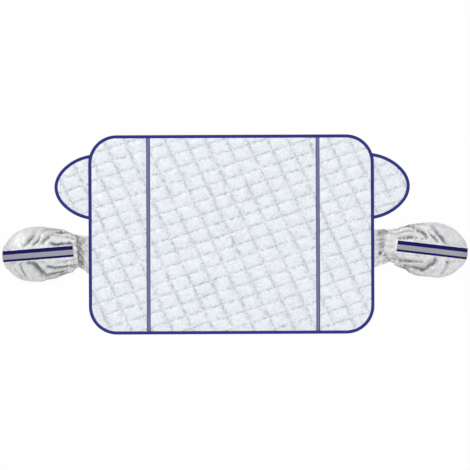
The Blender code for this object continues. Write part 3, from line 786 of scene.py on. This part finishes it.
def pouch_rings():
    """Each ring's distance, half width, height, equator, lift, closing and share of the hem."""
    mouth_equator = MOUTH_HEIGHT * EQUATOR_SHARE
    rings = [
        (distance, MOUTH_HALF_WIDTH, MOUTH_HEIGHT, mouth_equator, MOUTH_LIFT, 1, 1)
        for distance in np.linspace(0, HEM_LENGTH, 4)
    ]
    for share in np.linspace(1, 0, 13)[1:-1]:
        distance = STRIP_START - (STRIP_START - HEM_LENGTH) * share
        rings.append((distance, MOUTH_HALF_WIDTH, MOUTH_HEIGHT, mouth_equator, MOUTH_LIFT * share, 1, share))
    for distance in np.linspace(STRIP_START, POUCH_BELLY_AT, 46):
        ease = math.sin(math.pi / 2 * distance / POUCH_BELLY_AT)
        half_width = MOUTH_HALF_WIDTH + (POUCH_HALF_WIDTH - MOUTH_HALF_WIDTH) * ease
        height = MOUTH_HEIGHT + (POUCH_HEIGHT - MOUTH_HEIGHT) * ease
        rings.append((distance, half_width, height, height * EQUATOR_SHARE, 0, 1, 0))
    belly_equator = POUCH_HEIGHT * EQUATOR_SHARE
    for turn in np.linspace(0, TIP_TURN, 40)[1:]:
        distance = POUCH_BELLY_AT + (POUCH_LENGTH - POUCH_BELLY_AT) * math.sin(turn) / math.sin(TIP_TURN)
        equator = belly_equator + (TIP_EQUATOR - belly_equator) * (1 - math.cos(turn))
        height = equator + POUCH_HEIGHT - belly_equator
        rings.append((distance, POUCH_HALF_WIDTH * math.cos(turn), height, equator, 0, math.cos(turn), 0))
    return rings


def on_pouch(ring, angles, lip, pleats=0.0):
    """Points of a ring at angles from the equator nearest the sheet's top, over and round."""
    distance, half_width, height, equator, lift, closing, hem_share = ring
    sine, cosine = np.sin(angles), np.cos(angles)
    depth = PLEAT_DEPTH * max(0.0, 1 - distance / PLEAT_LENGTH) * pleats
    over = equator + (height - equator) * sine * closing
    under = equator * (1 - closing * np.minimum(1, FLOOR_SPREAD * np.abs(sine)))
    rise = np.where(sine >= 0, over, under) + depth * sine
    across = half_width * cosine + depth * cosine
    middle_reach, upper_reach = lip
    reach = middle_reach * np.maximum(0, sine) ** 2
    reach = reach + upper_reach * np.exp(-(((across - 0.055) / 0.026) ** 2)) * np.clip(sine * 4, 0, 1)
    ripple = np.array([noise.noise(Vector((spot * 36, middle_reach * 120, 0.5))) for spot in across])
    reach = reach + 0.0075 * ripple * np.clip(sine * 3, 0, 1)
    along = distance - hem_share * reach
    return np.stack((along, across, lift + np.maximum(0, rise)), axis=-1)


def gather(angle, distance, seed):
    """How far the mouth's gathers stand out at an angle, as a share of the deepest."""
    way = Vector((math.cos(angle), math.sin(angle), seed))
    depth = min(1.0, 0.3 + 1.5 * abs(noise.noise(way * 1.7)))
    return depth * math.sin(14 * angle + 3.2 * noise.noise(way * 2) + 3 * distance)


def beneath_strip(across, angles):
    """1 where the reflective strip holds the pouch's cloth flat, fading to 0 beside it."""
    beside = np.maximum(0, np.abs(across) - STRIP_CLEAR_HALF_WIDTH) / STRIP_CLEAR_FADE
    return np.exp(-(beside**2)) * (np.sin(angles) > 0)


def from_crease(points, crease):
    """Each (along, across) point's distance from a crease, its side, and its share of the length."""
    nearest = np.full(len(points), 9.0)
    side, progress = np.zeros(len(points)), np.zeros(len(points))
    corners = np.array(crease)
    for n, (start, end) in enumerate(zip(corners, corners[1:])):
        way = end - start
        off = points - start
        share = np.clip((off @ way) / (way @ way), 0, 1)
        away = np.linalg.norm(off - share[:, None] * way, axis=1)
        closer = away < nearest
        nearest[closer] = away[closer]
        side[closer] = np.sign(way[0] * off[closer, 1] - way[1] * off[closer, 0])
        progress[closer] = ((n + share) / (len(corners) - 1))[closer]
    return nearest, side, progress


def spread(values, reach):
    """The mean over the neighbours in a grid that runs round its second axis."""
    total = np.zeros_like(values)
    for step in range(-reach, reach + 1):
        total += np.roll(values, step, axis=1)
    padded = np.pad(total, ((reach, reach), (0, 0)), mode="edge")
    mean = sum(padded[step : step + len(values)] for step in range(2 * reach + 1))
    return mean / (2 * reach + 1) ** 2


def outward_of(grid):
    """The way out of the surface at each point of a closed grid of points."""
    around = np.roll(grid, -1, axis=1) - np.roll(grid, 1, axis=1)
    along = np.gradient(grid, axis=0)
    ways = np.cross(along, around)
    return ways / np.maximum(np.linalg.norm(ways, axis=2), 1e-9)[..., None]


def crumpled(side, start, held, seed):
    """Lets the free cloth of the pouch grow between its sewn places, and returns its points."""
    cloth = cloth_from_rows(f"{side}_crumpling_cloth", start, closed_across=True)
    group = cloth.vertex_groups.new(name="sewn")
    for index, weight in enumerate(held.ravel()):
        group.add([index], float(weight), "REPLACE")
    soft = cloth.modifiers.new("cloth", "CLOTH")
    soft.settings.quality = 6
    soft.settings.mass = 0.12
    soft.settings.tension_stiffness = 18
    soft.settings.compression_stiffness = 18
    soft.settings.shear_stiffness = 6
    soft.settings.bending_stiffness = 0.02
    soft.settings.vertex_group_mass = "sewn"
    soft.settings.shrink_min = -SPARE_CLOTH
    soft.settings.use_pressure = True
    soft.settings.uniform_pressure_force = 1.6
    soft.settings.effector_weights.gravity = 0
    soft.collision_settings.use_collision = False
    soft.point_cache.frame_end = 22
    for number in range(1, 23):
        bpy.context.scene.frame_set(number)
    settled = cloth.evaluated_get(bpy.context.evaluated_depsgraph_get())
    points = np.empty(len(settled.data.vertices) * 3)
    settled.data.vertices.foreach_get("co", points)
    bpy.context.scene.frame_set(1)
    bpy.data.objects.remove(cloth)
    return points.reshape(start.shape)


def silver_cloth(name):
    """Thin metallic-coated cloth: bright where it is stretched, with painted shade in its creases and patches of
    painted grey reflection.
    """
    material, tree, shader, place = new_cloth(name)
    crease = add_node(tree, "ShaderNodeAttribute", attribute_name="crease").outputs["Fac"]
    crumple = clouds(tree, place, 46, 5, roughness=0.55, distortion=1.2)
    folds = cells(tree, place, 42, "DISTANCE_TO_EDGE")
    relief = calculate(tree, "MULTIPLY_ADD", folds, 0.8, crumple)
    relief = calculate(tree, "MULTIPLY_ADD", clouds(tree, place, 700, 2), 0.05, relief)
    # Painted grey reflection: greyer patches along the crumples, standing in for the grey that the silver
    # reflects
    painted_grey_reflection = calculate(tree, "MULTIPLY_ADD", crumple, 0.9, -0.37)
    grey = calculate(tree, "ADD", calculate(tree, "MAXIMUM", painted_grey_reflection, 0.0), crease)
    dye(tree, shader, mixed(tree, grey, SILVER, CREASE_SHADE_GREY), relief, 0.7, 0.004)
    gloss = calculate(tree, "MULTIPLY_ADD", crumple, 0.25, 0.32)
    tree.links.new(gloss, shader.inputs["Roughness"])
    shader.inputs["Metallic"].default_value = 0.30
    return material


# Keeps a piece's painted shade in its crease attribute, which the silver cloth turns to grey
def store_painted_shade(piece, values):
    stored = piece.data.attributes.new("crease", "FLOAT", "POINT")
    stored.data.foreach_set("value", values.astype(np.float32).ravel())


pouches, pouch_trims = {}, {}
for side in ("left", "right"):
    seed, lip = POUCH_SEED[side], MOUTH_LIP[side]
    rings = pouch_rings()
    angles = np.arange(POUCH_COLUMNS) * 2 * math.pi / POUCH_COLUMNS
    distances = np.array([ring[0] for ring in rings])
    smooth = np.array([on_pouch(ring, angles, lip) for ring in rings])
    under_strip = beneath_strip(smooth[..., 1], angles) * np.clip((smooth[..., 0] - 0.002) / 0.010, 0, 1)
    free = 1 - under_strip
    gathers = np.array([[gather(angle, d, seed) for angle in angles] for d in distances])
    grid = np.array([on_pouch(ring, angles, lip, gathers[n] * free[n]) for n, ring in enumerate(rings)])
    ways = outward_of(smooth)
    if ((ways[..., 1] * smooth[..., 1]).sum()) < 0:
        ways = -ways
    flat_points = smooth[..., :2].reshape(-1, 2)
    top_side = np.broadcast_to(np.sin(angles) > -0.15, smooth.shape[:2]).ravel()
    laid, shadow = np.zeros(len(flat_points)), np.zeros(len(flat_points))
    strayed = flat_points.copy()
    for scale, reach in ((22, 0.0050), (60, 0.0028)):
        strayed += reach * np.stack([grain(flat_points, scale, seed + axis) for axis in (0.3, 7.7)], axis=1)
    broken = 0.62 + 0.75 * grain(flat_points, 34, seed + 2.5)
    for corners, half_width, depth in POUCH_CREASES[side]:
        away, bank, progress = from_crease(strayed, corners)
        away = away / (half_width * np.where(bank > 0, 1.9, 0.9))
        fade = np.sin(math.pi * np.clip(0.15 + 0.70 * progress, 0, 1)) ** 0.7 * top_side
        laid -= depth * fade * np.exp(-(away**2))
        laid += 0.5 * depth * fade * np.exp(-(((away - 2.2) / 1.1) ** 2))
        core = 0.92 * np.exp(-((away / 0.65) ** 2)) * np.clip(broken, 0.15, 1)
        soft = 0.56 * np.exp(-((away / 1.7) ** 2)) * np.clip(broken + 0.25, 0.4, 1)
        shadow = np.maximum(shadow, fade * np.maximum(core, soft) * min(1, depth / 0.0055))
    turns = [(3.4 * math.cos(angle), 3.4 * math.sin(angle)) for angle in angles]
    folds = np.array(
        [[noise.noise(Vector((x, y + d * 7, seed + d * 5))) for x, y in turns] for d in distances]
    )
    folds = (0.22 - np.abs(folds)) * 3 * np.exp(-np.maximum(0, distances - 0.05) / 0.13)[:, None]
    laid, shadow = (values.reshape(free.shape) * free for values in (laid, shadow))
    laid *= np.clip((distances - HEM_LENGTH) / 0.010, 0, 1)[:, None]
    spots = [Vector(point) * 26 + Vector((seed, 0, 0)) for point in smooth.reshape(-1, 3)]
    rough = np.array([noise.fractal(spot, 0.6, 2.0, 3) for spot in spots]).reshape(free.shape)
    rough = rough * free * np.clip((distances - 0.010) / 0.03, 0, 1)[:, None]
    loose = np.clip((distances - HEM_LENGTH) / 0.012, 0, 1)
    loose = (loose * np.clip((POUCH_LENGTH - distances) / 0.010, 0, 1))[:, None] * free
    start = grid + ways * (0.0016 * rough + 0.0016 * folds * loose)[..., None]
    held = 1 - loose
    settled = crumpled(side, start, held, seed)
    moved = settled - grid
    length = np.linalg.norm(moved, axis=2)
    moved *= (MOST_CRUMPLE * np.tanh(length / MOST_CRUMPLE) / np.maximum(length, 1e-9))[..., None]
    sunk = np.minimum(0, (moved * ways).sum(axis=2) + 0.0035)
    moved -= 0.85 * sunk[..., None] * ways
    start = grid + moved * loose[..., None]
    grid = start + ways * (laid + 0.0010 * rough)[..., None]
    grid[..., 2] = np.maximum(grid[..., 2], np.where(distances < 0.014, MOUTH_LIFT, 0.0)[:, None])
    # Painted shade for the crease attribute: greyer in the hollows of the crumpled cloth, along the laid
    # creases, and in a band along the sides near the equator
    height_off = ((grid - smooth) * ways).sum(axis=2)
    hollow = np.clip((spread(height_off, 4) - height_off) / 0.0035, 0, 1)
    equator = np.array([ring[3] + ring[4] for ring in rings])[:, None]
    side_shade = 0.34 * np.exp(-(((grid[..., 2] - equator * 0.8) / 0.010) ** 2))
    crease = np.clip(0.55 * hollow**1.3 + 0.85 * shadow + side_shade, 0, 1)
    last, middle = grid[-1], grid[-1].mean(axis=0)
    caps = [
        middle + (last - middle) * share + np.array((0.002 * math.sqrt(1 - share**2), 0, 0))
        for share in (0.93, 0.8, 0.62, 0.42, 0.2)
    ]
    rows = placed(np.concatenate((grid, np.array(caps))), side)
    tones = np.concatenate((crease, np.tile(crease[-1], (len(caps), 1))))
    pouch = cloth_from_rows(f"{side}_silver_pouch", rows, closed_across=True)
    store_painted_shade(pouch, tones)
    bpy.ops.object.mode_set(mode="EDIT")
    bpy.ops.mesh.select_all(action="DESELECT")
    bpy.ops.object.mode_set(mode="OBJECT")
    for edge in range(len(rows[-1])):
        pouch.data.vertices[(len(rows) - 1) * POUCH_COLUMNS + edge].select = True
    bpy.ops.object.mode_set(mode="EDIT")
    bpy.ops.mesh.select_mode(type="VERT")
    bpy.ops.mesh.edge_face_add()
    bpy.ops.mesh.poke()
    face_outwards()
    bpy.ops.object.mode_set(mode="OBJECT")
    thicken(pouch, POUCH_CLOTH, even=False)
    bpy.ops.object.shade_smooth()
    pouch.data.materials.append(silver_cloth(f"{side} pouch silver cloth"))
    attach(pouch, "root")
    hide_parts(f"{side}_mirror_pouch")
    pouches[side] = pouch
    pouch_trims[side] = []


# The reflective strip: navy webbing with a grey reflective tape sewn along it, laid over
# each pouch from the mouth to the tip and turned down at the tip.
WEBBING_LOW, WEBBING_THICKNESS = 0.0004, 0.0010
REFLECTOR_TOP, REFLECTOR_LOW_EDGE, REFLECTOR_THICKNESS = 0.0085, -0.0170, 0.0004
STRIP_TURN_DOWN, REFLECTOR_TURN_DOWN = 0.006, 0.0055
NAVY = (0.013, 0.009, 0.145, 1)
NAVY_DARK = (0.005, 0.003, 0.085, 1)
REFLECTIVE_GREY = (0.33, 0.33, 0.37, 1)


def strip_rows(side, from_across, to_across, columns, low, turn_down):
    """Rows of points over the pouch's face, that far off its smooth surface."""
    acrosses = np.linspace(from_across, to_across, columns)
    face_rings = [ring for ring in pouch_rings() if ring[0] >= STRIP_START]
    base = np.array([on_pouch(ring, np.arccos(acrosses / ring[1]), (0.0, 0.0)) for ring in face_rings])
    slope_along, slope_across = np.gradient(base, axis=0), np.gradient(base, axis=1)
    ways = np.cross(slope_along, slope_across)
    ways *= np.sign(ways[..., 2:3])
    ways /= np.linalg.norm(ways, axis=2)[..., None]
    rows = base + ways * low
    turns = ((low * 0.7, 0.0008), (low, 0.0025), (low, turn_down))
    turned = [rows[-1] + np.array((reach, 0, -drop)) for reach, drop in turns]
    return placed(np.concatenate((rows, np.array(turned))), side)


for side in ("left", "right"):
    webbing_top = WEBBING_LOW + WEBBING_THICKNESS
    band_rows = strip_rows(side, STRIP_HALF_WIDTH, -STRIP_HALF_WIDTH, 22, webbing_top, STRIP_TURN_DOWN)
    grey_top = webbing_top + 0.0003 + REFLECTOR_THICKNESS
    grey_rows = strip_rows(side, REFLECTOR_TOP, REFLECTOR_LOW_EDGE, 12, grey_top, REFLECTOR_TURN_DOWN)
    if side == "left":
        band_rows, grey_rows = band_rows[:, ::-1], grey_rows[:, ::-1]
    band = cloth_from_rows(f"{side}_strip_band", band_rows[::-1], WEBBING_THICKNESS)
    bpy.ops.object.shade_smooth_by_angle(angle=math.radians(50))
    band.data.materials.append(woven_cloth(f"{side} strip webbing", NAVY, NAVY_DARK, 320.0, roughness=0.7))
    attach(band, "root")
    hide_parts(f"{side}_strip_webbing")
    grey = cloth_from_rows(f"{side}_reflective_tape", grey_rows[::-1], REFLECTOR_THICKNESS)
    bpy.ops.object.shade_smooth_by_angle(angle=math.radians(50))
    beaded, tree, shader, lie = new_cloth(f"{side} reflective tape", by_uv=True)
    beads = cells(tree, lie, 1400, "F1")
    shade = calculate(tree, "MULTIPLY_ADD", beads, 0.35, clouds(tree, lie, 60, 5))
    shade = calculate(tree, "MULTIPLY_ADD", waves(tree, lie, 120, "DIAGONAL"), 0.12, shade)
    tint = mixed(tree, shade, darker(REFLECTIVE_GREY, 0.75), REFLECTIVE_GREY)
    dye(tree, shader, tint, beads, 0.3, 0.0003)
    shader.inputs["Roughness"].default_value = 0.35
    shader.inputs["Metallic"].default_value = 0.3
    grey.data.materials.append(beaded)
    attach(grey, "root")
    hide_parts(f"{side}_reflector")
    places, ways = [], []
    for across, low in ((0.0262, 0.0014), (-0.0262, 0.0014), (0.0072, 0.0022), (-0.0157, 0.0022)):
        line = strip_rows(side, across, across - 0.0005, 2, low, 0.002)[:-3, 0]
        lengths = np.concatenate(((0,), np.cumsum(np.linalg.norm(np.diff(line, axis=0), axis=1))))
        stops = np.arange(0.003, lengths[-1] - 0.003, STITCH_PITCH * 0.7)
        spots = np.stack([np.interp(stops, lengths, line[:, axis]) for axis in range(3)], axis=1)
        places.append(spots)
        ways.append(np.gradient(spots, axis=0))
    places, ways = np.vstack(places), np.vstack(ways)
    thread = stitches(f"{side}_strip_thread", places, ways, THREAD_BLUE, SEAM_THREAD_RADIUS)
    pouch_trims[side] += [band, grey, thread]


# The elastic: a narrow ribbed white band inside each mouth, which draws it in.
ELASTIC_COLUMNS = 160
ELASTIC_INSET, ELASTIC_THICKNESS = 0.0024, 0.0010
ELASTIC_WHITE = (0.82, 0.82, 0.80, 1)
ELASTIC_DARK = (0.6, 0.6, 0.58, 1)
for side in ("left", "right"):
    angles = np.arange(ELASTIC_COLUMNS) * 2 * math.pi / ELASTIC_COLUMNS
    size = (MOUTH_HALF_WIDTH - ELASTIC_INSET, MOUTH_HEIGHT - ELASTIC_INSET, MOUTH_HEIGHT * EQUATOR_SHARE)
    distances = np.linspace(0.0025, 0.0105, 6)
    mouth_rings = [(distance, *size, MOUTH_LIFT + ELASTIC_INSET, 1, 1) for distance in distances]
    pleats = np.array([gather(angle, 0.0065, POUCH_SEED[side]) for angle in angles])
    pleats *= 0.85 * (1 - beneath_strip(MOUTH_HALF_WIDTH * np.cos(angles), angles))
    rows = placed(np.array([on_pouch(ring, angles, MOUTH_LIP[side], pleats) for ring in mouth_rings]), side)
    if side == "left":
        rows = rows[:, ::-1]
    band = cloth_from_rows(f"{side}_mouth_elastic", rows, ELASTIC_THICKNESS, closed_across=True)
    bpy.ops.object.shade_smooth_by_angle(angle=math.radians(50))
    ribbed = woven_cloth(f"{side} ribbed elastic", ELASTIC_WHITE, ELASTIC_DARK, 260, roughness=0.8)
    band.data.materials.append(ribbed)
    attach(band, "root")
    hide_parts(f"{side}_elastic")
    pouch_trims[side].append(band)


# The neck: a piece of the same silver cloth, gathered between the sheet's edge, where it is
# sewn in under the binding, and the pouch's lower lip.
NECK_CENTRE = {"left": -0.101, "right": -0.075}
NECK_HALF_WIDTH, NECK_MOUTH_HALF_WIDTH = 0.097, 0.083
NECK_CLOTH, NECK_OVERLAP, NECK_EDGE_MARGIN = 0.0008, 0.009, 0.004
NECK_COLUMNS, NECK_PLEATS = 240, 5
NECK_PLEAT_AT_SEAM, NECK_PLEAT, NECK_FULLNESS = 0.0021, 0.0120, 1.35

# Each knot of cloth, painted as a patch of shade: its share of the length, its spot across, both reaches and its
# greyness
NECK_KNOT_SHADES = {
    "left": (
        (0.64, -0.62, 0.15, 0.13, 0.80),
        (0.50, 0.72, 0.40, 0.24, 0.26),
        (0.85, -0.30, 0.10, 0.22, 0.22),
    ),
    "right": (
        (0.30, -0.31, 0.09, 0.10, 1.00),
        (0.24, 0.75, 0.12, 0.14, 0.52),
        (0.31, 0.12, 0.03, 0.42, 0.40),
        (0.43, 0.25, 0.10, 0.50, 0.26),
        (0.12, 0.45, 0.09, 0.13, 0.30),
    ),
}
for side in ("left", "right"):
    outward = -1 if side == "left" else 1
    tilt = -outward * POUCH_DROOP[side]
    along = np.array((math.cos(tilt), math.sin(tilt))) * outward
    across = np.array((-math.sin(tilt), math.cos(tilt)))
    mouth = np.array((outward * (PANEL_WIDTH / 2 + NECK_LENGTH[side]), MOUTH_CENTRE[side]))
    root = np.array((outward * PANEL_WIDTH / 2, NECK_CENTRE[side]))
    start = root + np.array((outward * NECK_EDGE_MARGIN, 0))
    stop = mouth - along * NECK_EDGE_MARGIN
    stations = [(root - np.array((outward * TUCK, 0)), 0.0), (root, 0.0)]
    stations += [(start + (stop - start) * share, share) for share in np.linspace(0, 1, 34)]
    stations += [(mouth, 1.0), (mouth + along * NECK_OVERLAP, 1.0)]
    seed = 51 if side == "left" else 71
    rows, tones = [], []
    for middle, share in stations:
        half = NECK_HALF_WIDTH + (NECK_MOUTH_HALF_WIDTH - NECK_HALF_WIDTH) * share
        direction = np.array((0, 1)) * (1 - share) + across * share
        swell = math.sin(math.pi * share) ** 0.7
        row, tone = [], []
        for spot in np.linspace(-1, 1, NECK_COLUMNS):
            wander = noise.noise(Vector((spot * 2.5, share * 1.6, seed)))
            phase = NECK_PLEATS * math.pi * spot + 4.2 * wander
            wave = 0.5 - 0.5 * math.cos(phase)
            tall = 0.45 + 0.9 * abs(noise.noise(Vector((spot * 3.1, share * 2.0, seed + 3))))
            fold = noise.noise(Vector((spot * 3.6 + share, share * 1.9, seed + 8)))
            ridge = max(0.0, 0.5 - 1.8 * abs(fold))
            rise = NECK_PLEAT_AT_SEAM * (1 - share) * wave
            rise += swell * (NECK_PLEAT * (0.45 * tall * wave**1.3 + 0.9 * ridge))
            rise += swell * 0.0018 * noise.noise(Vector((spot * 9, share * 6, seed + 5)))
            lean = swell * 0.0016 * math.sin(phase + 0.8)
            row.append((*(middle + direction * (half * spot + lean)), NECK_CLOTH + max(0.0, rise)))
            # Painted shade: greyer low between the pleats, and in the painted patches of shade where knots of
            # cloth stand
            low = max(0.0, 1 - rise / (0.45 * NECK_PLEAT))
            painted_knot_shade = max(
                grey * math.exp(-(((share - at) / reach) ** 2) - ((spot - over) / width) ** 2)
                for at, over, reach, width, grey in NECK_KNOT_SHADES[side]
            )
            tone.append(min(1.0, 0.02 + swell * 0.40 * low**2 + painted_knot_shade))
        rows.append(row)
        tones.append(tone)
    rows, tones = np.array(rows), np.array(tones)
    if side == "right":
        rows, tones = rows[::-1], tones[::-1]
    neck = cloth_from_rows(f"{side}_gathered_neck", rows, 0.0)
    store_painted_shade(neck, tones)
    facing = sum(face.normal.z for face in neck.data.polygons)
    if facing < 0:
        neck.data.flip_normals()
    thicken(neck, NECK_CLOTH, even=False)
    bpy.ops.object.shade_smooth_by_angle(angle=math.radians(70))
    neck.data.materials.append(silver_cloth(f"{side} neck silver cloth"))
    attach(neck, "root")
    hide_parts(f"{side}_neck")
